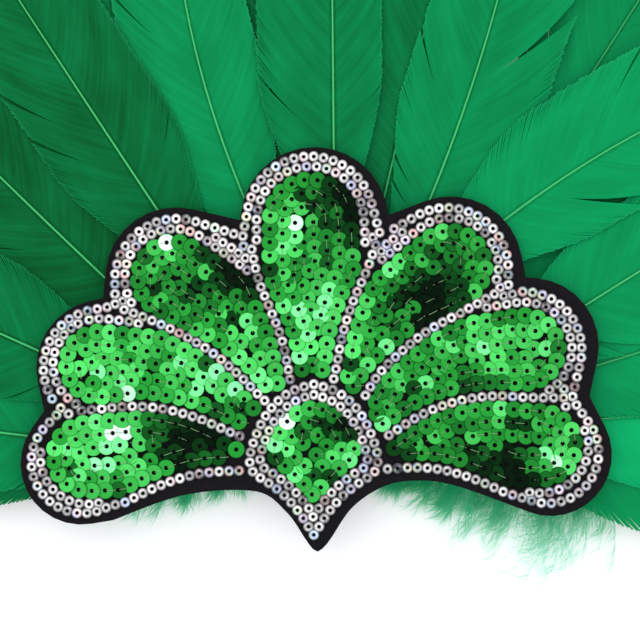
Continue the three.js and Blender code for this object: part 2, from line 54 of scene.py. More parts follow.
BAND_ABOVE_CENTRE = 3


class Wire:
    """An output socket. Arithmetic on it adds Math nodes to the tree being built, node() any other node."""

    tree = None

    def __init__(self, socket):
        self.socket = socket

    @classmethod
    def node(cls, kind, settings=None, sockets=None, out=0):
        """Adds a node and returns one output. Sockets take values or wires; a ramp's stops are a setting."""
        made = cls.tree.nodes.new(kind)
        for name, value in (settings or {}).items():
            if name == "stops":
                for (place, shade), stop in zip(value, made.color_ramp.elements):
                    stop.position, stop.color = place, shade
                for place, shade in value[2:]:
                    made.color_ramp.elements.new(place).color = shade
            else:
                setattr(made, name, value)
        for name, value in (sockets or {}).items():
            if isinstance(value, Wire):
                cls.tree.links.new(value.socket, made.inputs[name])
            else:
                made.inputs[name].default_value = value
        return cls(made.outputs[out]) if made.outputs else None

    def out(self, name):
        return Wire(self.socket.node.outputs[name])

    @staticmethod
    def math(operation, *values):
        return Wire.node("ShaderNodeMath", {"operation": operation}, dict(enumerate(values)))

    def __add__(self, other):
        return Wire.math("ADD", self, other)

    def __sub__(self, other):
        return Wire.math("SUBTRACT", self, other)

    def __mul__(self, other):
        return Wire.math("MULTIPLY", self, other)

    def __truediv__(self, other):
        return Wire.math("DIVIDE", self, other)

    def __pow__(self, other):
        return Wire.math("POWER", self, other)

    def __rsub__(self, other):
        return Wire.math("SUBTRACT", other, self)

    def __rtruediv__(self, other):
        return Wire.math("DIVIDE", other, self)

    __radd__ = __add__
    __rmul__ = __mul__


def ink(red, green, blue):
    """A colour as seen, from 0 to 255, as the linear one that a shader takes"""
    linear = [((c / 255 + 0.055) / 1.055) ** 2.4 if c > 10 else c / 255 / 12.92 for c in (red, green, blue)]
    return (*linear, 1)


def blend(share, first, second):
    """The mix of two colours"""
    sockets = {0: share, 6: first, 7: second}
    return Wire.node("ShaderNodeMix", {"data_type": "RGBA"}, sockets, out=2)


def smooth_step(value, start, end):
    sockets = {"Value": value, "From Min": start, "From Max": end}
    return Wire.node("ShaderNodeMapRange", {"interpolation_type": "SMOOTHSTEP"}, sockets)


def new_material(name):
    material = bpy.data.materials.new(name)
    material.use_nodes = True
    material.node_tree.nodes.clear()
    Wire.tree = material.node_tree
    return material


def surface(**sockets):
    """Closes a material with the shader that has these sockets, spaces written as underscores"""
    shader = Wire.node("ShaderNodeBsdfPrincipled", {}, {k.replace("_", " "): v for k, v in sockets.items()})
    Wire.node("ShaderNodeOutputMaterial", {}, {"Surface": shader})


def place_on_piece():
    """Object coordinates, in metres"""
    return Wire.node("ShaderNodeTexCoord", out="Object")


def noise(where, scale, detail):
    return Wire.node("ShaderNodeTexNoise", {}, {"Vector": where, "Scale": scale, "Detail": detail})


def axes(position):
    """The three coordinates of a position"""
    parts = Wire.node("ShaderNodeSeparateXYZ", {}, {"Vector": position})
    return parts.out("X"), parts.out("Y"), parts.out("Z")


def relief(height, depth):
    """A bump whose height of 1 stands for a depth in millimetres"""
    return Wire.node("ShaderNodeBump", {}, {"Height": height, "Strength": 1, "Distance": depth * MM})


def elastic_material():
    material = new_material("woven_elastic")
    _, across, _ = axes(place_on_piece())
    rib = 0.5 + 0.5 * Wire.math("SINE", across * (2 * math.pi / (RIB_SPACING * MM)))
    surface(
        Base_Color=blend(rib, ink(20, 20, 22), ink(52, 52, 56)),
        Roughness=0.8,
        Normal=relief(rib, RIB_DEPTH),
    )
    return material


def dress(node, material):
    """Gives a CAD node its finish"""
    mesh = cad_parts[node].data
    mesh.materials.clear()
    mesh.materials.append(material)


dress("head_strap", elastic_material())

# The fan's centre, in metres: the band's middle lies straight above it
band_low, band_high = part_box("head_strap")
CENTRE_X = (band_low.x + band_high.x) / 2
CENTRE_Y = (band_low.y + band_high.y) / 2 - BAND_ABOVE_CENTRE * MM


# Back felt
# A plain half disc of black wool felt, 1.6 mm thick, that the quills are glued to. It is hidden from the
# front by the feathers.
WOOL_SCALE, WOOL_DETAIL = 900, 4
FIBRE_SCALE, FIBRE_DETAIL = 4200, 2
FELT_RELIEF = 0.35


def felt_material():
    material = new_material("wool_felt")
    where = place_on_piece()
    wool = noise(where, WOOL_SCALE, WOOL_DETAIL)
    fibre = noise(where, FIBRE_SCALE, FIBRE_DETAIL)
    surface(
        Base_Color=blend(wool, ink(5, 4, 6), ink(26, 22, 27)),
        Roughness=0.95,
        Specular_IOR_Level=0.15,
        Sheen_Weight=0.03,
        Sheen_Roughness=0.6,
        Normal=relief(0.6 * wool + 0.4 * fibre, FELT_RELIEF),
    )
    return material


WOOL_FELT = felt_material()
dress("back_felt", WOOL_FELT)


# Feathers
# Goose feathers dyed green, glued by their quills in layers: eleven behind, whose colours are painted darker
# for the shade they lie in, and ten in front.
# Each is a tapering shaft with a vane of barbs on either side, and here and there the barbs have parted.
# Each row has the quill's end and aim, the turn of the shaft by its tip, the length, the half vanes with the
# tip upwards, the layer, how many layers the tip settles by, the brightness, which is partly the dye and
# partly painted light and shade, and the large partings.
Feather = namedtuple("Feather", "x y aim bend length left right layer sink shade splits")
FRONT_FEATHERS = [
    Feather(-38, -6.3, 173, 0, 166, 19.5, 20, 3, 1, 0.33, [("right", 0.66)]),
    Feather(-38.2, 4.4, 154.6, 4, 170, 20, 21, 4, 1, 0.22, []),
    Feather(-33.6, 19, 137, -2, 174, 21, 21, 3, 1, 0.07, [("left", 0.6)]),
    Feather(-23.2, 30.3, 123.6, 0, 172, 20, 20, 4, 1, 0.14, []),
    Feather(-5.5, 37.5, 120, -34, 170, 20, 19, 3, 1, 0.44, []),
    Feather(5.3, 38.5, 90.5, 0, 176, 22.5, 14.5, 4, 1, 0.3, []),
    Feather(18.2, 35.3, 64, 18, 170, 20, 22, 3, 1, 0.42, [("right", 0.42)]),
    Feather(23.1, 34.2, 46, -33, 168, 21, 20, 4, 0, 0.55, [("right", 0.33)]),
    Feather(37.6, 10.9, 34, -6, 172, 20, 21, 3, 0, 0.5, [("right", 0.22)]),
    Feather(38, 1.4, 3.6, 1, 168, 21, 23, 1, 0, 0.9, []),
]
BACK_FEATHERS = [
    Feather(-37, -8.4, 180, 1, 160, 13, 20, 2, 1, 0.2, []),
    Feather(-38, -1, 167, 3, 170, 21, 21, 1, 1, 0.15, []),
    Feather(-36.6, 11, 149, 3, 172, 21, 21, 2, 1, 0.15, []),
    Feather(-29, 24.6, 131, 3, 174, 21, 21, 1, 1, 0.15, []),
    Feather(-15.4, 35, 116, 0, 174, 21, 21, 2, 1, 0.24, []),
    Feather(0, 38, 98, -2, 176, 21, 21, 1, 1, 0.26, []),
    Feather(12, 36.4, 77, -2, 174, 21, 21, 2, 1, 0.26, []),
    Feather(28.6, 25, 57, 0, 172, 21, 21, 1, 1, 0.44, []),
    Feather(32.6, 19.6, 37, -2, 172, 21, 21, 0, 0, 0.52, []),
    Feather(37.8, 6, 18, -3, 170, 21, 21, 2, 0, 0.6, []),
    Feather(37.9, -3.4, -8, -3, 162, 20, 17, 0, 0, 0.52, []),
]

# The vane, as shares of the shaft: where it starts, is open, starts to grow, is grown, is widest and ends
VANE_START, VANE_OPEN = 0.09, 0.12
VANE_GROWING, VANE_GROWN, VANE_WIDEST, VANE_END = 0.1, 0.4, 0.72, 1.04
VANE_BASE_WIDTH = 0.4
VANE_CAMBER = 0.4

# Degrees between barb and shaft: at the vane's base, where it is grown, and at the tip, which the barbs turn
# towards from a share of the shaft. A barb leaves at a wider angle by its curl, and curves back.
BASE_BARB_ANGLE, BARB_ANGLE, TIP_BARB_ANGLE = 60, 34, 22
TIP_BARBS_START = 0.5
BARB_CURL = 8

# A barb's least length, its width as a share of the spacing, its ridge, how much it narrows by its end, the
# least share of its full length, and how far its end strays
SHORTEST_BARB = 1.6
BARB_OVERLAP = 1.2
BARB_RIDGE = 0.012
BARB_TAPER = 0.45
LEAST_BARB_SHARE = 0.975
STRAY_BARB = 0.05

# How often the range that a barb's length lies in is halved
HALVINGS = 20

# A three-cornered section of radius 1 is 1.73 wide and 1.5 high, which these shares bring down to 1
WIDTH_SHARE, HEIGHT_SHARE = 0.577, 0.667

# Heights: the quills' axis behind the applique, the rest height that the fan droops to, the rise of each
# layer, and the distances from the fan's centre between which the fan droops and its ends settle
QUILL_HEIGHT, REST_HEIGHT, LAYER_STEP = 10.0, 0.24, 1.2
DROOP_START, DROOP_END, SINK_START, SINK_END = 90, 205, 130, 200

# The quill narrows to the shaft between two shares of its length
QUILL_RADIUS, SHAFT_RADIUS, SHAFT_TIP_RADIUS = 1, 0.33, 0.18
QUILL_END, SHAFT_START = 0.02, 0.13
SHAFT_SPACING = 4
SHAFT_SIDES = 8

# A parting leaves a gap of this half width at the vane's edge, over this share of the shaft
PARTING_WIDTH, PARTING_REACH = 1.9, 0.03
SMALL_PARTINGS = 5
SMALL_PARTING_WIDTH, SMALL_PARTING_REACH = 0.65, 0.012
SMALL_PARTING_PLACES, SMALL_PARTING_SIZES = (0.14, 0.95), (0.4, 1.2)

# Millimetres of shaft between one feather's pattern of streaks and the next one's
PATTERN_STEP = 1000


def smooth(start, end, value):
    """0 before the start and 1 past the end, with an S curve between them"""
    share = min(1, max(0, (value - start) / (end - start)))
    return share * share * (3 - 2 * share)


def mix(first, second, share):
    return first + (second - first) * share


def shaft_at(feather, share):
    """Place and heading on the shaft, an arc of a circle"""
    start, turn = math.radians(feather.aim), math.radians(feather.bend or 0.01)
    radius, heading = feather.length / turn, start + turn * share
    x = feather.x + radius * (math.sin(heading) - math.sin(start))
    y = feather.y - radius * (math.cos(heading) - math.cos(start))
    return x, y, heading


def vane_profile(share):
    """Half width of the vane as a share of its widest"""
    if share >= VANE_END:
        return 0
    opening = smooth(VANE_START, VANE_OPEN, share)
    growth = mix(VANE_BASE_WIDTH, 1, smooth(VANE_GROWING, VANE_GROWN, share))
    past = max(0, (share - VANE_WIDEST) / (VANE_END - VANE_WIDEST))
    return opening * growth * math.sqrt(1 - past * past)


def barb_angle(share):
    grown = mix(BASE_BARB_ANGLE, BARB_ANGLE, smooth(VANE_START, VANE_GROWN, share))
    return math.radians(mix(grown, TIP_BARB_ANGLE, smooth(TIP_BARBS_START, 1, share)))


def barb_length(feather, share, half_width):
    """Length of the barb from the shaft to the vane's edge, by halving the range that it lies in"""
    angle, low, high = barb_angle(share), 0, 2 * half_width
    for _ in range(HALVINGS):
        middle = (low + high) / 2
        edge = half_width * vane_profile(share + middle * math.cos(angle) / feather.length)
        if middle * math.sin(angle) < edge:
            low = middle
        else:
            high = middle
    return max(SHORTEST_BARB, low)


def parting(share, side, partings):
    """How far a barb's tip leans towards the feather's tip, away from partings on its side of the vane"""
    lean = 0
    for where, at, width, reach in partings:
        if where == side:
            distance = (share - at) / reach
            lean += math.copysign(width, distance) * math.exp(-abs(distance))
    return lean


def feather_seed(name, feather, spacing, seed):
    """The shaft's line and the barbs' roots, with what each barb needs to know"""
    chance = random.Random(seed)
    curl = math.radians(BARB_CURL)
    partings = [(side, at, PARTING_WIDTH, PARTING_REACH) for side, at in feather.splits]
    for _ in range(SMALL_PARTINGS):
        side, at = chance.choice(("left", "right")), chance.uniform(*SMALL_PARTING_PLACES)
        width = SMALL_PARTING_WIDTH * chance.uniform(*SMALL_PARTING_SIZES)
        partings.append((side, at, width, SMALL_PARTING_REACH))
    rows = []
    shaft_count = round(feather.length / SHAFT_SPACING)
    for i in range(shaft_count + 1):
        share = i / shaft_count
        x, y, heading = shaft_at(feather, share)
        thick = mix(QUILL_RADIUS, SHAFT_RADIUS, smooth(QUILL_END, SHAFT_START, share))
        radius = mix(thick, SHAFT_TIP_RADIUS, smooth(SHAFT_START, 1, share))
        rows.append((x, y, 0, heading, 0, 0, 0.5, radius, share * feather.length))
    barb_count = round(feather.length * (1 - VANE_START) / spacing)
    for side, sign, half_width in (("left", 1, feather.left), ("right", -1, feather.right)):
        for i in range(barb_count):
            share = mix(VANE_START, 1, i / (barb_count - 1))
            x, y, heading = shaft_at(feather, share)
            angle = barb_angle(share)
            length = barb_length(feather, share, half_width) * chance.uniform(LEAST_BARB_SHARE, 1.0)
            fall = VANE_CAMBER * (length * math.sin(angle) / half_width) ** 2
            lean = chance.gauss(0, STRAY_BARB)
            lean -= sign * (parting(share, side, partings) + length * math.tan(curl))
            rows.append((x, y, length, heading + sign * (angle + curl), lean, fall, chance.random(), 0,
                         share * feather.length))
    rows = np.array(rows)
    mesh = bpy.data.meshes.new(name)
    points = np.column_stack([rows[:, 0], rows[:, 1], np.zeros(len(rows))]) * MM
    mesh.from_pydata(points.tolist(), [(i, i + 1) for i in range(shaft_count)], [])
    give_attributes(mesh, {
        "barb": rows[:, 2] * MM,
        "heading": rows[:, 3],
        "lean": rows[:, 4] * MM,
        "fall": rows[:, 5] * MM,
        "tone": rows[:, 6],
        "thickness": rows[:, 7] * MM,
        "up_shaft": rows[:, 8] + PATTERN_STEP * seed,
        "shade": np.full(len(rows), feather.shade),
    })
    return bpy.data.objects.new(name, mesh)


def give_attributes(mesh, columns):
    """Named values for a mesh's points, a number or three numbers for each"""
    for name, column in columns.items():
        triple = np.ndim(column) == 2
        layer = mesh.attributes.new(name, "FLOAT_VECTOR" if triple else "FLOAT", "POINT")
        layer.data.foreach_set("vector" if triple else "value", np.ravel(column))


def new_geometry_tree(name, ports):
    """A tree with a geometry in and out and these named inputs, and the node that gives the inputs"""
    tree = bpy.data.node_groups.new(name, "GeometryNodeTree")
    tree.interface.new_socket("Geometry", in_out="INPUT", socket_type="NodeSocketGeometry")
    for port, kind in ports.items():
        tree.interface.new_socket(port, in_out="INPUT", socket_type=f"NodeSocket{kind}")
    tree.interface.new_socket("Geometry", in_out="OUTPUT", socket_type="NodeSocketGeometry")
    Wire.tree = tree
    return tree, Wire.node("NodeGroupInput")


def attribute(name, data_type="FLOAT"):
    return Wire.node("GeometryNodeInputNamedAttribute", {"data_type": data_type}, {"Name": name})


def store(geometry, name, value):
    settings = {"data_type": "FLOAT", "domain": "POINT"}
    sockets = {"Geometry": geometry, "Name": name, "Value": value}
    return Wire.node("GeometryNodeStoreNamedAttribute", settings, sockets)


def vector(x=0, y=0, z=0):
    return Wire.node("ShaderNodeCombineXYZ", {}, {"X": x, "Y": y, "Z": z})


def sway(geometry, x, y, z):
    """Moves points to new coordinates"""
    return Wire.node("GeometryNodeSetPosition", {}, {"Geometry": geometry, "Position": vector(x, y, z)})


def coordinates():
    return axes(Wire.node("GeometryNodeInputPosition"))


def tapering_blade(steps, taper):
    """A three-sided closed blade of length 1 along X, one edge up, that narrows towards its end"""
    sockets = {"Vertices": 3, "Side Segments": steps, "Radius": 1, "Depth": 1}
    rod = Wire.node("GeometryNodeMeshCylinder", {}, sockets)
    x, y, z = coordinates()
    rod = store(rod, "along", z + 0.5)
    along = attribute("along")
    narrow = 1 - taper * along ** 3
    return sway(rod, along, 0 - y * narrow, x * narrow)


def copies(points, instance, turn, **sockets):
    """One mesh of copies of a shape on points, turned by Euler angles"""
    rotation = Wire.node("FunctionNodeEulerToRotation", {}, {"Euler": turn})
    sockets.update(Points=points, Instance=instance, Rotation=rotation)
    placed = Wire.node("GeometryNodeInstanceOnPoints", {}, sockets)
    return Wire.node("GeometryNodeRealizeInstances", {}, {"Geometry": placed})


def finished(geometry, material, **sockets):
    sockets.update(Geometry=geometry, Material=material)
    return Wire.node("GeometryNodeSetMaterial", {}, sockets)


def moved(geometry, offset):
    return Wire.node("GeometryNodeTransform", {}, {"Geometry": geometry, "Translation": offset})


def swept(line, ring, **sockets):
    """A tube along a line, with closed ends"""
    sockets.update({"Curve": line, "Profile Curve": ring, "Fill Caps": True})
    return Wire.node("GeometryNodeCurveToMesh", {}, sockets)


def circle(sides, radius):
    return Wire.node("GeometryNodeCurvePrimitiveCircle", {}, {"Resolution": sides, "Radius": radius})


def shaded_smooth(geometry, smooth, **sockets):
    sockets.update({"Geometry": geometry, "Shade Smooth": smooth})
    return Wire.node("GeometryNodeSetShadeSmooth", {}, sockets)


def feather_tree():
    tree, given = new_geometry_tree("feather", {
        "Barb Width": "Float", "Barb Ridge": "Float", "Barb Steps": "Int", "Shaft Sides": "Int",
        "Layer Rise": "Float", "Layer Settling": "Float", "Fan Centre": "Vector",
        "Vane Finish": "Material", "Shaft Finish": "Material",
    })
    seeds = given.out("Geometry")
    width, ridge = given.out("Barb Width") * WIDTH_SHARE, given.out("Barb Ridge") * HEIGHT_SHARE
    size = vector(attribute("barb"), width, ridge)
    blade = tapering_blade(given.out("Barb Steps"), BARB_TAPER)
    is_barb = Wire.math("GREATER_THAN", attribute("barb"), 0)
    barbs = copies(seeds, blade, vector(z=attribute("heading")), Selection=is_barb, Scale=size)
    shaft = Wire.node("GeometryNodeMeshToCurve", {}, {"Mesh": seeds})
    shaft = swept(shaft, circle(given.out("Shaft Sides"), 1), Scale=attribute("thickness"))
    shaft = store(shaft, "along", 0)
    whole = Wire.node("GeometryNodeJoinGeometry")
    for part in (barbs, shaft):
        Wire.tree.links.new(part.socket, whole.socket.node.inputs[0])

    # Barbs lean, then everything drapes over the layers below
    x, y, z = coordinates()
    along, heading = attribute("along"), attribute("heading")
    lean = attribute("lean") * along ** 2
    x = x - Wire.math("SINE", heading) * lean
    y = y + Wire.math("COSINE", heading) * lean
    distance = Wire.math("SQRT", x * x + y * y)
    droop = smooth_step(distance, DROOP_START * MM, DROOP_END * MM)
    settling = given.out("Layer Settling") * smooth_step(distance, SINK_START * MM, SINK_END * MM)
    drape = QUILL_HEIGHT * MM - droop * ((QUILL_HEIGHT - REST_HEIGHT) * MM)
    height = z + drape + given.out("Layer Rise") - settling - attribute("fall") * along ** 2
    whole = sway(whole, x, y, height)
    whole = moved(whole, given.out("Fan Centre"))
    is_shaft = Wire.math("GREATER_THAN", attribute("thickness"), 0)
    whole = shaded_smooth(shaded_smooth(whole, False), True, Selection=is_shaft)
    whole = finished(whole, given.out("Vane Finish"))
    whole = finished(whole, given.out("Shaft Finish"), Selection=is_shaft)
    Wire.node("NodeGroupOutput", {}, {"Geometry": whole})
    return tree


def grow(seed, tree, **inputs):
    """Runs a tree on a seed object and returns the plain piece that it makes"""
    bpy.context.collection.objects.link(seed)
    modifier = seed.modifiers.new("growth", "NODES")
    modifier.node_group = tree
    for item in tree.interface.items_tree:
        key = item.name.replace(" ", "_").lower()
        if item.in_out == "INPUT" and key in inputs:
            modifier[item.identifier] = inputs[key]
    view_layer = bpy.context.evaluated_depsgraph_get()
    grown = seed.evaluated_get(view_layer)
    mesh = bpy.data.meshes.new_from_object(grown, preserve_all_data_layers=True, depsgraph=view_layer)
    seed.modifiers.remove(modifier)
    name = seed.name
    bare = seed.data
    bpy.data.objects.remove(seed)
    bpy.data.meshes.remove(bare)
    mesh.name = name
    piece = bpy.data.objects.new(name, mesh)
    bpy.context.collection.objects.link(piece)
    return piece


def painted(name):
    """An attribute that a material reads"""
    return Wire.node("ShaderNodeAttribute", {"attribute_name": name}, out="Fac")


# How strongly the vane's shade varies, in streaks along the barbs, in clouds and from barb to barb, and how
# closely streaks and clouds are set along a barb and up the shaft
STREAKS, CLOUDS, BARB_TONES = 0.32, 0.38, 0.05
STREAK_ALONG, STREAK_UP, CLOUD_SCALE = 0.035, 0.45, 0.06

# The painted shadow beside the shaft, between two distances, and the pale ends of the barbs
SHAFT_SHADE, SHADE_START, SHADE_END = 0.22, 0.7, 1.8
PALE_TIP, PALE_TIP_START = 0.12, 0.93


def vane_material(name, dark, bright, pale):
    """Dyed barbs: soft streaks along them, a tint for each barb, and a painted shadow line beside the shaft
    """
    material = new_material(name)
    along_barb = painted("along") * painted("barb") * (1 / MM)
    up_shaft = painted("up_shaft")
    streak = noise(vector(along_barb * STREAK_ALONG, up_shaft * STREAK_UP, 0), 1, 3)
    cloud = noise(vector(along_barb * CLOUD_SCALE, up_shaft * CLOUD_SCALE, 7), 1, 2)
    light = painted("shade") + STREAKS * (streak - 0.5) + CLOUDS * (cloud - 0.5)
    light = light + BARB_TONES * (painted("tone") - 0.5)
    # A painted shadow darkens the barbs next to the shaft
    shaft_shadow = 1 - smooth_step(along_barb, SHADE_START, SHADE_END)
    light = Wire.math("MAXIMUM", Wire.math("MINIMUM", light - SHAFT_SHADE * shaft_shadow, 1), 0)
    tint = blend(light, dark, bright)
    tip = smooth_step(painted("along"), PALE_TIP_START, 1)
    surface(
        Base_Color=blend(tip * PALE_TIP, tint, pale),
        Roughness=0.55,
        Specular_IOR_Level=0.05,
    )
    return material


def shaft_material(name, shade):
    material = new_material(name)
    surface(Base_Color=shade, Roughness=0.35, Specular_IOR_Level=0.5)
    return material


FRONT_VANE = vane_material("front_vane", ink(0, 84, 36), ink(8, 182, 108), ink(60, 205, 140))
# The back layer's vane and shaft are darker copies of the front ones: painted shade, for lying behind the
# front feathers
BACK_VANE = vane_material("back_vane", ink(0, 78, 32), ink(7, 176, 104), ink(40, 190, 124))
FRONT_SHAFT = shaft_material("front_shaft", ink(48, 188, 104))
BACK_SHAFT = shaft_material("back_shaft", ink(30, 165, 90))
FEATHER_TREE = feather_tree()

Layer = namedtuple("Layer", "group slot feathers spacing steps vane shaft")
for layer in (
    Layer("back", "back_feather", BACK_FEATHERS, 0.8, 5, BACK_VANE, BACK_SHAFT),
    Layer("front", "front_feather", FRONT_FEATHERS, 0.5, 7, FRONT_VANE, FRONT_SHAFT),
):
    for number, feather in enumerate(layer.feathers, 1):
        node = f"feather_{layer.group}_{number}"
        piece = grow(
            feather_seed(f"{layer.group}_feather_{number}", feather, layer.spacing, number),
            FEATHER_TREE,
            barb_width=layer.spacing * BARB_OVERLAP * MM,
            barb_ridge=BARB_RIDGE * MM,
            barb_steps=layer.steps,
            shaft_sides=SHAFT_SIDES,
            layer_rise=feather.layer * LAYER_STEP * MM,
            layer_settling=feather.sink * LAYER_STEP * MM,
            fan_centre=(CENTRE_X, CENTRE_Y, 0),
            vane_finish=layer.vane,
            shaft_finish=layer.shaft,
        )
        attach(piece, "root")
        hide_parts(node)


# Down
# Loose down from the feathers' bases, dyed with them, that hangs out below the applique: on either side a
# row of curved strands, each with finer strands off it, dense at the felt and thinning to a mist.
Tuft = namedtuple("Tuft", "side start end rise fall locks strands curl")
Lock = namedtuple("Lock", "at aim length width")
DOWN_TUFTS = [
    Tuft("left", (-24, -11), (-62, -13.5), 5.5, 2, [
        Lock(0.1, 264, 8, 9), Lock(0.3, 256, 11, 10), Lock(0.5, 264, 14, 10),
        Lock(0.7, 254, 15, 10), Lock(0.88, 244, 13, 10), Lock(0.98, 228, 12, 9),
    ], 7, -24),
    Tuft("right", (23, -11), (78, -15), 5.5, 3, [
        Lock(0.06, 285, 8, 8), Lock(0.18, 285, 11, 10), Lock(0.3, 292, 15, 11),
        Lock(0.42, 290, 19, 12), Lock(0.55, 292, 24, 12), Lock(0.67, 290, 28, 12),
        Lock(0.78, 296, 28, 12), Lock(0.89, 304, 27, 11), Lock(0.98, 318, 24, 10),
    ], 8, -65),
]

# Each lock is parted into wisps. A wisp lies off the lock's place by a share of its width, spreads from its
# aim by degrees, and reaches a share of its length.
WISPS = 4
WISP_OFFSET, WISP_SPREAD, WISP_REACH = 0.35, 18, (0.5, 1.15)
TUFT_SPAN = 50

# Strands stray from their wisp in place, heading and curl. Their length is a share of the wisp's, and they
# start above or below the tuft's height.
STRAND_WIDTH = 0.085
STRAND_HEIGHT_SHARE = 0.5
STRAND_STEPS = 3
STRAND_TAPER = 0.75
STRAND_STRAY, STRAND_TURN, CURL_STRAY, CURL_SPREAD = 0.08, 7, 14, 0.4
STRAND_REACH, STRAND_LIFT = (0.5, 1.0), (-1.6, 0.4)
LOWEST_STRAND = 0.15

# Finer strands leave a strand from a share of its length, on either side
FINE_STRANDS = 22
FINE_LENGTH = 6.5
FINE_PLACES, FINE_REACH, FINE_ANGLES = (0.12, 0.9), (0.4, 1.1), (8, 30)
FINE_CURL, FINE_FALL = (0, 0.5), (-0.5, 0.7)

# The dye fades between these distances from the felt, give or take the scatter from strand to strand
FADE_START, FADE_END, FADE_SCATTER = 4, 26, 8


def down_seed(tuft, seed):
    """Roots of the strands. Fine ones start on the coarse ones, and know how far down the tuft they are."""
    chance = random.Random(seed)
    rows = []
    wisps = [(lock, chance.gauss(0, 1), chance.gauss(0, 1), chance.uniform(*WISP_REACH))
             for lock in tuft.locks for _ in range(WISPS)]
    for lock, offset, spread, reach in wisps:
        for _ in range(tuft.strands):
            aside = WISP_OFFSET * offset + chance.gauss(0, STRAND_STRAY)
            along = lock.at + aside * lock.width / TUFT_SPAN
            x = mix(tuft.start[0], tuft.end[0], along)
            y = mix(tuft.start[1], tuft.end[1], along)
            heading = math.radians(lock.aim + WISP_SPREAD * spread + chance.gauss(0, STRAND_TURN))
            length = lock.length * reach * chance.uniform(*STRAND_REACH)
            turn = math.radians(tuft.curl * (1 + CURL_SPREAD * offset) + chance.gauss(0, CURL_STRAY))
            rise = tuft.rise + chance.uniform(*STRAND_LIFT)
            fall = tuft.fall * length / lock.length
            rows.append((x, y, rise, length, heading, turn, fall, chance.random(), 0))
            for _ in range(FINE_STRANDS):
                share = chance.uniform(*FINE_PLACES)
                bearing = heading + turn * share
                out = chance.choice((-1, 1))
                sideways = 0.5 * turn * length * share * share
                fx = x + length * share * math.cos(heading) - sideways * math.sin(heading)
                fy = y + length * share * math.sin(heading) + sideways * math.cos(heading)
                fz = rise - fall * share * share
                fine = FINE_LENGTH * chance.uniform(*FINE_REACH)
                fine_heading = bearing + out * math.radians(chance.uniform(*FINE_ANGLES))
                curve = turn * fine / length - out * chance.uniform(*FINE_CURL)
                rows.append((fx, fy, fz, fine, fine_heading, curve, chance.uniform(*FINE_FALL),
                             chance.random(), share * length))
    rows = np.array(rows)
    name = f"down_strands_{tuft.side}"
    mesh = bpy.data.meshes.new(name)
    mesh.from_pydata((rows[:, :3] * MM).tolist(), [], [])
    give_attributes(mesh, {
        "barb": rows[:, 3] * MM,
        "heading": rows[:, 4],
        "turn": rows[:, 5],
        "fall": rows[:, 6] * MM,
        "tone": rows[:, 7],
        "from_felt": rows[:, 8],
    })
    return bpy.data.objects.new(name, mesh)


def down_tree():
    tree, given = new_geometry_tree("down", {
        "Strand Width": "Float", "Strand Steps": "Int", "Fan Centre": "Vector", "Finish": "Material"})
    length, width = attribute("barb"), given.out("Strand Width")
    blade = tapering_blade(given.out("Strand Steps"), STRAND_TAPER)
    size = vector(length, width * WIDTH_SHARE, width * STRAND_HEIGHT_SHARE)
    strands = copies(given.out("Geometry"), blade, vector(z=attribute("heading")), Scale=size)
    x, y, z = coordinates()
    along, heading = attribute("along"), attribute("heading")
    sideways = 0.5 * attribute("turn") * length * along ** 2
    strands = sway(
        strands,
        x - Wire.math("SINE", heading) * sideways,
        y + Wire.math("COSINE", heading) * sideways,
        Wire.math("MAXIMUM", z - attribute("fall") * along ** 2, LOWEST_STRAND * MM),
    )
    strands = finished(moved(strands, given.out("Fan Centre")), given.out("Finish"))
    Wire.node("NodeGroupOutput", {}, {"Geometry": strands})
    return tree


def down_material():
    material = new_material("dyed_down")
    reach = painted("from_felt") + painted("along") * painted("barb") * (1 / MM)
    faded = smooth_step(reach + FADE_SCATTER * (painted("tone") - 0.5), FADE_START, FADE_END)
    surface(
        Base_Color=blend(faded, ink(20, 205, 138), ink(170, 242, 215)),
        Roughness=0.8,
        Specular_IOR_Level=0.2,
        Sheen_Weight=0.3,
        Sheen_Roughness=0.5,
        Sheen_Tint=ink(190, 245, 215),
    )
    return material


DOWN_TREE = down_tree()
DYED_DOWN = down_material()
for number, tuft in enumerate(DOWN_TUFTS):
    piece = grow(
        down_seed(tuft, 40 + number),
        DOWN_TREE,
        strand_width=STRAND_WIDTH * MM,
        strand_steps=STRAND_STEPS,
        fan_centre=(CENTRE_X, CENTRE_Y, 0),
        finish=DYED_DOWN,
    )
    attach(piece, "root")
    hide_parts(f"down_{tuft.side}")


# Applique felt
# The scalloped patch of black wool felt that the sequins are sewn to, cut in seven round lobes and a point.
# It is glued over the quills, and a narrow band of it shows round the sequins.
dress("applique_felt", WOOL_FELT)


# Green sequins
# Flat round sequins of metallic green film, 5 mm across with a hole in the middle. They are sewn through
# the felt in rows that follow each field's outline, each one lapping over the next along its row.
GREEN_DIAMETER = 5
GREEN_HOLE = 1.35
GREEN_PITCH = 3.8
FIRST_GREEN_ROW = 2.05
GREEN_ROW_SPACING = 3.65
GREEN_CROWDING = 3.15
EDGE_SLACK = 0.35
ROW_TOLERANCE = 0.12
MOST_ROWS, SHORTEST_LINE = 12, 4
GREEN_BEVEL = 0.16
GREEN_SIDES = 18
FILM_THICKNESS = 0.14
FILM_HEIGHT = 18.42

# Degrees that a green sequin leans along its row and across it, and how far it strays from that
GREEN_LEANS = (6, 3, 3.5)

# The sequins' middle tone, its scatter and the darkest tone, all painted reflection. The rim is darker, from
# one distance from the middle to another.
GREEN_TONE, GREEN_SCATTER, DARKEST_GREEN = 0.47, 0.13, 0.02
RIM_START, RIM_END, RIM_SHADE = 2.3, 2.45, 0.2

# Spacings of points along lines, and of the grid on which gaps are looked for
FINE_STEP, LINE_STEP, EDGE_STEP, GRID_STEP = 0.5, 0.6, 0.8, 0.5
GREEN_FIELDS = (
    "lower_left", "mid_left", "upper_left", "top", "upper_right", "mid_right", "lower_right", "drop",
)
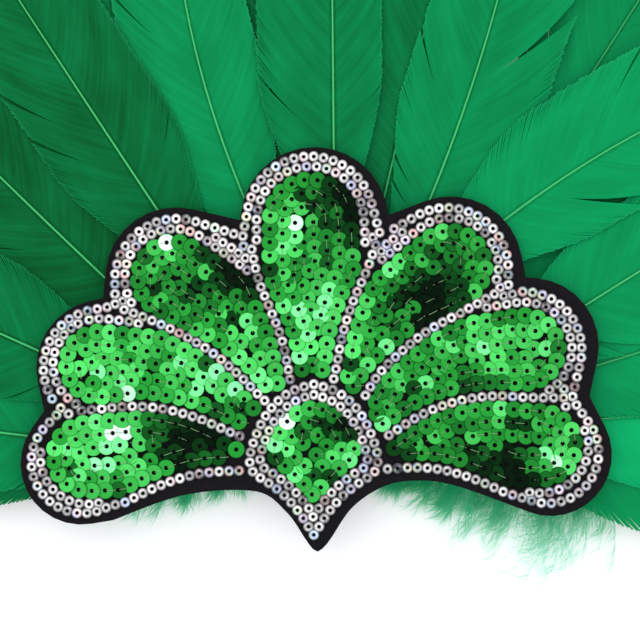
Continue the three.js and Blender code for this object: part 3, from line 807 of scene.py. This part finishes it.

# Patches of painted light and shade, the smallest ones painted highlights: centre, radius, and how much
# lighter or darker
PATCH_STRENGTH = 1.15
PAINTED_LIGHT_PATCHES = [
    (-36, -1.5, 9, -0.55), (-58, 2, 9, 0.25), (-66, -8, 9, 0.2), (-60, 22, 12, 0.15), (-36, 16, 10, 0.3),
    (-27, 50, 9, -0.35), (-24, 26, 8, 0.15), (-40, 42, 12, -0.1), (8, 68, 9, -0.4), (-6, 60, 7, 0.2),
    (0, 32, 12, 0.25), (3, 58, 8, -0.15), (31, 39, 10, -0.5), (24, 48, 7, 0.3), (44, 24, 10, 0.3),
    (45, 17, 6, -0.4), (60, 28, 9, 0.15), (57, -12, 9, -0.5), (48, -4, 7, -0.2), (50, 1, 6, 0.3),
    (68, -6, 6, 0.3), (6, 2, 6, -0.45), (-8, 4, 5, 0.2), (10, -6, 5, 0.3), (-43.5, 55.1, 2.6, 0.7),
    (-32.5, 49.3, 2.6, 0.7), (-56.6, 0.3, 2, 0.5), (-8.1, 5.5, 2.6, 0.7), (-10.4, -3.2, 2.2, 0.4),
    (67.6, -7, 2.6, 0.4), (-7.3, 64.7, 3, 0.3),
]


def top_outline(node):
    """The outline of a flat node's top, in millimetres from the fan's centre, anticlockwise"""
    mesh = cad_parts[node].data
    top = max(v.co.z for v in mesh.vertices) - 0.01 * MM
    edges = {}
    for face in mesh.polygons:
        corners = [mesh.vertices[i].co for i in face.vertices]
        if all(c.z > top for c in corners):
            keys = [(round(c.x / MM - CENTRE_X / MM, 3), round(c.y / MM - CENTRE_Y / MM, 3)) for c in corners]
            for a, b in zip(keys, keys[1:] + keys[:1]):
                if (b, a) in edges:
                    del edges[(b, a)]
                else:
                    edges[(a, b)] = True
    following = {a: b for a, b in edges}
    start = max(following)
    outline = [start]
    while following[outline[-1]] != start:
        outline.append(following[outline[-1]])
    return np.array(outline)


def evenly(points, spacing, closed=True):
    """Points at even steps along a line"""
    line = np.vstack([points, points[:1]]) if closed else np.asarray(points, float)
    steps = np.hypot(*np.diff(line, axis=0).T)
    reach = np.concatenate([[0], np.cumsum(steps)])
    count = max(1, round(reach[-1] / spacing))
    places = np.linspace(0, reach[-1], count + 1)
    if closed:
        places = places[:-1]
    return np.column_stack([np.interp(places, reach, line[:, 0]), np.interp(places, reach, line[:, 1])])


def headings(points, closed=True):
    """Directions of a line at its points, in radians"""
    before = np.roll(points, 1, axis=0)
    after = np.roll(points, -1, axis=0)
    if not closed:
        before[0], after[-1] = points[0], points[-1]
    return np.arctan2(*(after - before).T[::-1])


def row_inside(outline, distance):
    """The line that runs inside an outline at a distance from it"""
    edge = evenly(outline, FINE_STEP)
    turn = headings(edge)
    inner = edge + distance * np.column_stack([-np.sin(turn), np.cos(turn)])
    gaps = np.hypot(*(inner[:, None, :] - edge[None, :, :]).transpose(2, 0, 1)).min(axis=1)
    return inner[gaps > distance - ROW_TOLERANCE]


def spread_out(candidates, taken, crowding):
    """Keeps the candidates (x, y, heading) that aren't too close to one that is already sewn on"""
    for candidate in candidates:
        if all(math.hypot(candidate[0] - t[0], candidate[1] - t[1]) > crowding for t in taken):
            taken.append(tuple(candidate))
    return taken


def inside(point, outline):
    """Whether a point lies in an outline, by the edges that a line to its right crosses"""
    x, y = point
    ahead = np.roll(outline, -1, axis=0)
    spans = (outline[:, 1] > y) != (ahead[:, 1] > y)
    rise = np.where(spans, ahead[:, 1] - outline[:, 1], 1)
    crossing = outline[:, 0] + (y - outline[:, 1]) / rise * (ahead[:, 0] - outline[:, 0])
    return (spans & (crossing > x)).sum() % 2 == 1


def fill_gaps(outline, taken, crowding, margin, fields=()):
    """Sews single sequins where the rows have left room, inside an outline and outside these fields"""
    edge = np.vstack([evenly(line, EDGE_STEP) for line in fields or (outline,)])
    low, high = outline.min(axis=0), outline.max(axis=0)
    for y in np.arange(low[1], high[1], GRID_STEP):
        for x in np.arange(low[0], high[0], GRID_STEP):
            sewn = np.array(taken)
            gaps = np.hypot(sewn[:, 0] - x, sewn[:, 1] - y)
            if gaps.min() < crowding or np.hypot(edge[:, 0] - x, edge[:, 1] - y).min() < margin:
                continue
            if inside((x, y), outline) and not any(inside((x, y), field) for field in fields):
                taken.append((x, y, taken[gaps.argmin()][2]))
    return taken


def green_rows(field):
    """Rows inside the field's outline, one within the other until there is no room, and the gaps filled"""
    outline = top_outline(f"sequins_{field}")
    taken = []
    for row in range(MOST_ROWS):
        line = row_inside(outline, FIRST_GREEN_ROW + row * GREEN_ROW_SPACING)
        if len(line) < SHORTEST_LINE:
            break
        row_points = evenly(line, GREEN_PITCH)
        if len(row_points) < 2:
            break
        taken = spread_out(np.column_stack([row_points, headings(row_points)]), taken, GREEN_CROWDING)
    return fill_gaps(outline, taken, GREEN_CROWDING, FIRST_GREEN_ROW - EDGE_SLACK)


def sequin_seed(name, sequins, tones, leans, seed):
    """Points where sequins are sewn, each with its tilt and its tone"""
    chance = random.Random(seed)
    mesh = bpy.data.meshes.new(name)
    points = [((x * MM) + CENTRE_X, (y * MM) + CENTRE_Y, FILM_HEIGHT * MM) for x, y, _ in sequins]
    mesh.from_pydata(points, [], [])
    along_lean, across_lean, stray = leans
    tilts = [
        (
            math.radians(across_lean + chance.gauss(0, stray)),
            math.radians(-along_lean + chance.gauss(0, stray)),
            heading,
        )
        for _, _, heading in sequins
    ]
    give_attributes(mesh, {
        "tilt": np.array(tilts),
        "tone": np.array(tones),
        "tint": np.array([chance.random() for _ in sequins]),
    })
    return bpy.data.objects.new(name, mesh)


def sequin_tree():
    tree, given = new_geometry_tree("sequins", {
        "Diameter": "Float", "Hole": "Float", "Bevel": "Float", "Thickness": "Float", "Sides": "Int",
        "Finish": "Material",
    })
    rim, hole, bevel = given.out("Diameter") * 0.5, given.out("Hole") * 0.5, given.out("Bevel")
    thickness = given.out("Thickness")
    # The film's section, from the hole outwards: its flat top, the pressed rim and the underside
    section = Wire.node("GeometryNodeCurvePrimitiveQuadrilateral", {"mode": "POINTS"}, {
        "Point 1": vector(hole, thickness * 0.5),
        "Point 2": vector(rim - bevel, thickness * 0.5),
        "Point 3": vector(rim, thickness * -0.2),
        "Point 4": vector(hole, thickness * -0.5),
    })
    # The circle's sections stand at its middle, so that they are turned about it
    washer = Wire.node("GeometryNodeCurveToMesh", {}, {
        "Curve": circle(given.out("Sides"), 1), "Profile Curve": section})
    x, y, z = coordinates()
    distance = Wire.math("SQRT", x * x + y * y)
    radial = Wire.math("ABSOLUTE", distance - 1)
    washer = store(washer, "radius", radial)
    washer = sway(washer, x / distance * radial, y / distance * radial, z)
    washer = shaded_smooth(washer, False)
    sequins = copies(given.out("Geometry"), washer, attribute("tilt", "FLOAT_VECTOR"))
    Wire.node("NodeGroupOutput", {}, {"Geometry": finished(sequins, given.out("Finish"))})
    return tree


def green_film():
    """Metallic film with painted reflection: each sequin one flat tone, from nearly black to bright mint, and
    a few near white as painted highlights
    """
    material = new_material("green_film")
    rim = smooth_step(painted("radius"), RIM_START * MM, RIM_END * MM)
    tone = painted("tone") - RIM_SHADE * rim
    shade = Wire.node("ShaderNodeValToRGB", {"stops": [
        (0.0, ink(3, 16, 5)), (0.25, ink(12, 70, 24)), (0.5, ink(40, 160, 56)),
        (0.75, ink(86, 224, 106)), (0.93, ink(150, 255, 184)), (1.0, ink(235, 255, 240)),
    ]}, {"Fac": tone})
    surface(
        Base_Color=shade,
        Metallic=0.4,
        Roughness=0.4,
        Specular_IOR_Level=0.05,
    )
    return material


SEQUIN_TREE = sequin_tree()
GREEN_FILM = green_film()
sewn_rows = {}
for number, field in enumerate(GREEN_FIELDS):
    sequins = green_rows(field)
    chance = random.Random(70 + number)
    tones = []
    for x, y, _ in sequins:
        # Each tone is painted reflection: scattered from sequin to sequin, then made lighter or darker in the
        # patches of painted light
        tone = GREEN_TONE + chance.gauss(0, GREEN_SCATTER)
        for patch_x, patch_y, radius, change in PAINTED_LIGHT_PATCHES:
            away = math.hypot(x - patch_x, y - patch_y) / radius
            tone += PATCH_STRENGTH * change * math.exp(-away ** 2)
        tones.append(min(1, max(DARKEST_GREEN, tone)))
    sewn_rows[field] = sequins
    piece = grow(
        sequin_seed(f"green_sequins_{field}", sequins, tones, GREEN_LEANS, 90 + number),
        SEQUIN_TREE,
        diameter=GREEN_DIAMETER * MM, hole=GREEN_HOLE * MM, bevel=GREEN_BEVEL * MM,
        thickness=FILM_THICKNESS * MM, sides=GREEN_SIDES, finish=GREEN_FILM,
    )
    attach(piece, "root")
    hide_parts(f"sequins_{field}")


# Silver sequins
# Iridescent silver sequins, 3 mm across, sewn in rows: a double row round the lobes' outer ends and round
# the drop, and a single row between each petal and the next.
SILVER_DIAMETER = 3.1
SILVER_HOLE = 1.1
SILVER_PITCH = 2.9
SILVER_CROWDING = 2.5
SILVER_ROW_SPACING = 3
SILVER_FILLING, SILVER_MARGIN = 2.35, 1.5
BESIDE_FIELD = 1.8
SILVER_BEVEL, SILVER_THICKNESS, SILVER_SIDES = 0.3, 0.2, 14
SILVER_LEANS = (4, 0, 3)
# Each silver sequin's tone is painted reflection, with painted glints across it; the pressed rim and the
# hole's edge get painted shade
SILVER_TONE, SILVER_SCATTER, DARKEST_SILVER = 0.72, 0.24, 0.2
GLINT_SCALE, GLINT, SHIMMER_SCALE, SHIMMER = 650, 1.3, 500, 1.2
PRESSED_START, PRESSED_END, PRESSED_SHADE = 1.05, 1.4, 0.75
HOLE_EDGE_START, HOLE_EDGE_END, HOLE_EDGE_SHADE = 0.56, 0.85, 0.4

# The outer row's lobes, with their radii, the points between them, and the single rows between petals
TRIM_LOBES = [
    (-67.9, -7.8, 14.9), (-62.2, 19.4, 17.1), (-40.6, 44.7, 18), (-1.9, 62.4, 18.4),
    (37.7, 48.1, 17.8), (60, 24.7, 16.8), (67, -5.1, 14.7),
]
TRIM_VALLEYS = [
    (-60.5, -20.7), (-74.5, 6.8), (-58.5, 37.5), (-21.5, 57.5),
    (18.5, 57.5), (55.5, 42), (74, 10.5), (62, -18.9),
]
DIVIDERS = [
    [(-19.7, -10.2), (-33.8, -10.8), (-45.1, -14.2), (-55.8, -19.6), (-62, -21.4)],
    [(-14, -3.2), (-21.2, -1), (-36.5, 6), (-50.8, 8.8), (-68.3, 7)],
    [(-11, 6), (-17.2, 11.9), (-22.8, 17.7), (-30.7, 24.5), (-43.5, 31.6), (-58.6, 37.4)],
    [(-7, 10.6), (-8.3, 19.4), (-10.2, 28.4), (-13.9, 37.4), (-17.4, 45.6), (-19.4, 56.6)],
    [(3.6, 10.6), (5.9, 20.7), (7.2, 28.7), (10.6, 39.4), (14.2, 46.8), (17.1, 55.1)],
    [(10, 4), (17.1, 17.1), (23.5, 23.4), (31.8, 30.3), (42.5, 35.8), (51.5, 40.9)],
    [(13, -4.2), (20.1, -0.7), (29.6, 5.8), (39.9, 9.9), (51.9, 11.6), (60.9, 10.8), (71.6, 10.8)],
    [(17.6, -10), (32.8, -9.1), (44.5, -12.1), (54.8, -16.8), (65.8, -19.9)],
]

# The right half of the drop's outer row, from its middle
DROP_CENTRE_X = -0.9
DROP_TRIM = [
    (0, 14.7), (5.6, 13.3), (10.6, 10), (14.6, 4.8), (17.3, -1.2), (18.9, -7.2), (17.9, -11),
    (13, -13.9), (8, -17.8), (3.6, -23.2), (0.9, -27.6),
]
DROP_TIP = -29.4


def lobe_row(lobe, start, end):
    """The clockwise arc round a lobe between two valleys, with the lines that join it to them"""
    lobe_x, lobe_y, radius = lobe

    def touch(point, side):
        x, y = point[0] - lobe_x, point[1] - lobe_y
        return math.atan2(y, x) + side * math.acos(min(1, radius / math.hypot(x, y)))

    first, last = touch(start, -1), touch(end, 1)
    while last > first:
        last -= 2 * math.pi
    count = round((first - last) * radius / FINE_STEP)
    turns = [mix(first, last, i / count) for i in range(count + 1)]
    arc = [(lobe_x + radius * math.cos(turn), lobe_y + radius * math.sin(turn)) for turn in turns]
    return [start, *arc, end]


def rounded(points, passes=3):
    """A line with its corners cut to curves"""
    line = np.array(points, float)
    for _ in range(passes):
        quarter = 0.75 * line[:-1] + 0.25 * line[1:]
        three = 0.25 * line[:-1] + 0.75 * line[1:]
        line = np.vstack([line[:1], np.column_stack([quarter, three]).reshape(-1, 2), line[-1:]])
    return line


def to_the_right(points, distance):
    """A closed line moved to the right of its direction"""
    turn = headings(points)
    return points + distance * np.column_stack([np.sin(turn), -np.cos(turn)])


def sewn_line(points, closed=False):
    """Places and headings of silver sequins along a line"""
    row = evenly(points, SILVER_PITCH, closed)
    return np.column_stack([row, headings(row, closed)])


def petal_trim_rows(drop_rows):
    """The outer row, the rows between petals and one round each petal's field, clear of the drop's rows"""
    outer = [*rounded(DIVIDERS[0][:-1])]
    for i, lobe in enumerate(TRIM_LOBES):
        outer += lobe_row(lobe, TRIM_VALLEYS[i], TRIM_VALLEYS[i + 1])[:-1]
    outer = np.array([*outer, TRIM_VALLEYS[-1], *rounded(DIVIDERS[-1][-2::-1])])
    taken = spread_out(sewn_line(outer), list(drop_rows), SILVER_CROWDING)
    for divider in DIVIDERS[1:-1]:
        taken = spread_out(sewn_line(rounded(divider)), taken, SILVER_CROWDING)
    fields = [top_outline(f"sequins_{field}") for field in GREEN_FIELDS]
    for field in fields[:-1]:
        beside = to_the_right(evenly(field, LINE_STEP), BESIDE_FIELD)
        taken = spread_out(sewn_line(beside, True), taken, SILVER_CROWDING)
    return fill_gaps(outer, taken, SILVER_FILLING, SILVER_MARGIN, fields)[len(drop_rows):]


def drop_trim_rows():
    right = [(DROP_CENTRE_X + x, y) for x, y in DROP_TRIM]
    left = [(DROP_CENTRE_X - x, y) for x, y in reversed(DROP_TRIM[1:])]
    outer = rounded([*right, (DROP_CENTRE_X, DROP_TIP), *left, right[0]], 2)[:-1]
    taken = spread_out(sewn_line(outer, True), [], SILVER_CROWDING)
    inner = to_the_right(evenly(outer, LINE_STEP), SILVER_ROW_SPACING)
    return spread_out(sewn_line(inner, True), taken, SILVER_CROWDING)


def silver_film():
    """White metallic film: pale tints that change in slanting bands, each sequin's painted reflection and
    painted glints, and painted shade near the rim and the hole
    """
    material = new_material("silver_film")
    where = place_on_piece()
    x, y, z = axes(where)
    slant = (x + y + z) / 3 + 1
    glint = noise(where, GLINT_SCALE, 1)
    shimmer = noise(vector(slant, slant, slant), SHIMMER_SCALE, 1)
    pastel = Wire.node("ShaderNodeValToRGB", {"stops": [
        (0.0, ink(236, 230, 228)), (0.5, ink(254, 252, 252)), (0.66, ink(255, 226, 222)),
        (0.76, ink(222, 218, 255)), (0.84, ink(205, 236, 255)), (0.9, ink(255, 244, 206)),
        (0.95, ink(214, 255, 226)), (1.0, ink(255, 205, 205)),
    ]}, {"Fac": painted("tint") + SHIMMER * (shimmer - 0.5)})
    pressed = smooth_step(painted("radius"), PRESSED_START * MM, PRESSED_END * MM)
    edge = 1 - smooth_step(painted("radius"), HOLE_EDGE_START * MM, HOLE_EDGE_END * MM)
    light = painted("tone") + GLINT * (glint - 0.5)
    light = light * (1 - PRESSED_SHADE * pressed) * (1 - HOLE_EDGE_SHADE * edge)
    surface(
        Base_Color=blend(light, ink(52, 50, 56), pastel),
        Metallic=0.5,
        Roughness=0.3,
        Coat_Weight=0.25,
        Coat_Roughness=0.1,
    )
    return material


SILVER_FILM = silver_film()
SilverRow = namedtuple("SilverRow", "name sequins node")
DROP_ROWS = drop_trim_rows()
for number, row in enumerate((
    SilverRow("silver_sequins_petals", petal_trim_rows(DROP_ROWS), "trim_petals"),
    SilverRow("silver_sequins_drop", DROP_ROWS, "trim_drop"),
)):
    chance = random.Random(120 + number)
    tones = [min(1, max(DARKEST_SILVER, chance.gauss(SILVER_TONE, SILVER_SCATTER))) for _ in row.sequins]
    piece = grow(
        sequin_seed(row.name, row.sequins, tones, SILVER_LEANS, 130 + number),
        SEQUIN_TREE,
        diameter=SILVER_DIAMETER * MM, hole=SILVER_HOLE * MM, bevel=SILVER_BEVEL * MM,
        thickness=SILVER_THICKNESS * MM, sides=SILVER_SIDES, finish=SILVER_FILM,
    )
    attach(piece, "root")
    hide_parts(row.node)


# Thread
# Pale sewing thread that holds the green sequins with back stitches: it comes up through a hole, runs over
# the film along the row and goes down before the next hole. It shows on about seven sequins in ten.
THREAD_WIDTH = 0.16
THREAD_SIDES = 4
SHOWING = 0.7

# A stitch's start, its middle and its end, along the row and up from the film
STITCH = ((0.3, -0.25), (1.6, 0.68), (3.0, -0.35))
STITCH_STEPS = 5


def thread_tree():
    tree, given = new_geometry_tree("thread", {"Width": "Float", "Finish": "Material"})
    start, middle, end = (vector(along * MM, 0, up * MM) for along, up in STITCH)
    line = Wire.node("GeometryNodeCurveQuadraticBezier", {}, {
        "Resolution": STITCH_STEPS, "Start": start, "Middle": middle, "End": end})
    stitch = swept(line, circle(THREAD_SIDES, given.out("Width") * 0.5))
    stitches = copies(given.out("Geometry"), stitch, attribute("tilt", "FLOAT_VECTOR"))
    Wire.node("NodeGroupOutput", {}, {"Geometry": finished(stitches, given.out("Finish"))})
    return tree


def thread_material():
    material = new_material("pale_thread")
    surface(Base_Color=ink(140, 176, 128), Roughness=0.8)
    return material


THREAD_TREE = thread_tree()
PALE_THREAD = thread_material()
for number, field in enumerate(GREEN_FIELDS):
    chance = random.Random(150 + number)
    sequins = [sequin for sequin in sewn_rows[field] if chance.random() < SHOWING]
    piece = grow(
        sequin_seed(f"stitches_{field}", sequins, [0] * len(sequins), GREEN_LEANS, 90 + number),
        THREAD_TREE,
        width=THREAD_WIDTH * MM, finish=PALE_THREAD,
    )
    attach(piece, "root")


# Table
# A plain white table top, with the soft light of a window at the upper left and of the room around it. A
# faint glow of the table's own keeps the shadows on it pale.
TABLE_SIZE = 6
TABLE_GLOW = 0.15
WINDOW_LEFT, WINDOW_UP, WINDOW_HEIGHT = 0.42, 0.42, 1.35
WINDOW_SIZE, WINDOW_POWER = 0.9, 3
ROOM_LIGHT = 1.04


def table_material():
    material = new_material("white_table")
    surface(
        Base_Color=(0.97, 0.97, 0.97, 1),
        Roughness=0.7,
        Emission_Color=(1, 1, 1, 1),
        Emission_Strength=TABLE_GLOW,
    )
    return material


bpy.ops.mesh.primitive_plane_add(size=TABLE_SIZE, location=(0, 0, 0))
table = bpy.context.object
table.name = "table_top"
table.data.materials.append(table_material())


# The window is a square light that faces the applique
light = bpy.data.lights.new("window", "AREA")
light.size, light.energy = WINDOW_SIZE, WINDOW_POWER
lamp = bpy.data.objects.new("window", light)
lamp.location = (CENTRE_X - WINDOW_LEFT, CENTRE_Y + WINDOW_UP, WINDOW_HEIGHT)
lamp.rotation_mode = "QUATERNION"
aim = Vector((CENTRE_X, CENTRE_Y, 0)) - Vector(lamp.location)
lamp.rotation_quaternion = aim.to_track_quat("-Z", "Y")
bpy.context.collection.objects.link(lamp)
world = bpy.data.worlds.new("room")
world.use_nodes = True
background = world.node_tree.nodes["Background"].inputs
background["Color"].default_value = (0.96, 0.98, 1, 1)
background["Strength"].default_value = ROOM_LIGHT
bpy.context.scene.world = world
bpy.context.scene.view_settings.view_transform = "Standard"

# The camera looks straight down at the applique, with 185.6 mm of its plane across the frame
VIEW_WIDTH = 185.6
VIEW_X, VIEW_Y = 0.9, 33.35
SEQUIN_PLANE = 18.5
camera_data = bpy.data.cameras.new("front_camera")
camera_data.lens, camera_data.sensor_width = 100, 36
camera = bpy.data.objects.new("front_camera", camera_data)
distance = VIEW_WIDTH * camera_data.lens / camera_data.sensor_width
camera.location = (
    CENTRE_X + VIEW_X * MM,
    CENTRE_Y + VIEW_Y * MM,
    (SEQUIN_PLANE + distance) * MM,
)
bpy.context.collection.objects.link(camera)
bpy.context.scene.camera = camera
